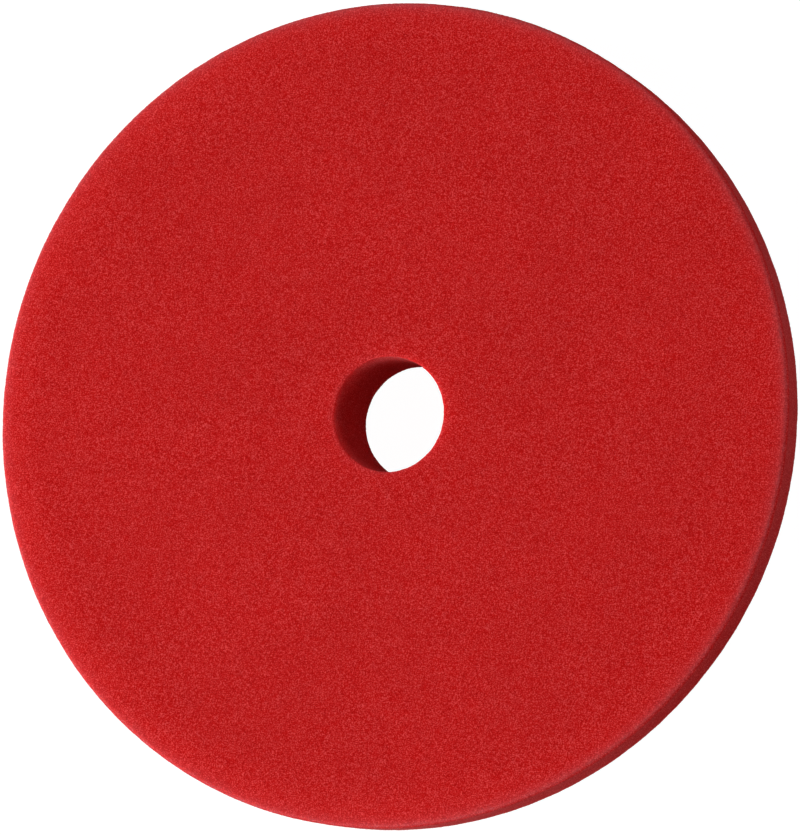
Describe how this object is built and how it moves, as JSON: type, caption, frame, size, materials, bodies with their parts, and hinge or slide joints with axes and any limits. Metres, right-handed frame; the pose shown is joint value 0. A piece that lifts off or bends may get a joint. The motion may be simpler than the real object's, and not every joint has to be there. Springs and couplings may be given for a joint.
{
  "type": "foam polishing pad",
  "caption": "Round red foam pad with a centre hole, a bevelled back edge and a hook-and-loop backing, for a dual action polisher.",
  "frame": {"origin": "centre of the pad's underside, on its axis, where the loop fabric rests", "axes": "+Z along the pad's axis, out of the working face, +X and +Y any two square directions across the round pad"},
  "size_m": [0.165, 0.165, 0.022],
  "materials": {
    "foam": "matt open-cell polyurethane foam",
    "adhesive": "satin hot-melt film",
    "loop_fabric": "matt brushed nylon loop"
  },
  "bodies": {
    "root": {"foam_disc": "foam", "adhesive_film": "adhesive", "loop_backing": "loop_fabric"}
  },
  "joints": []
}
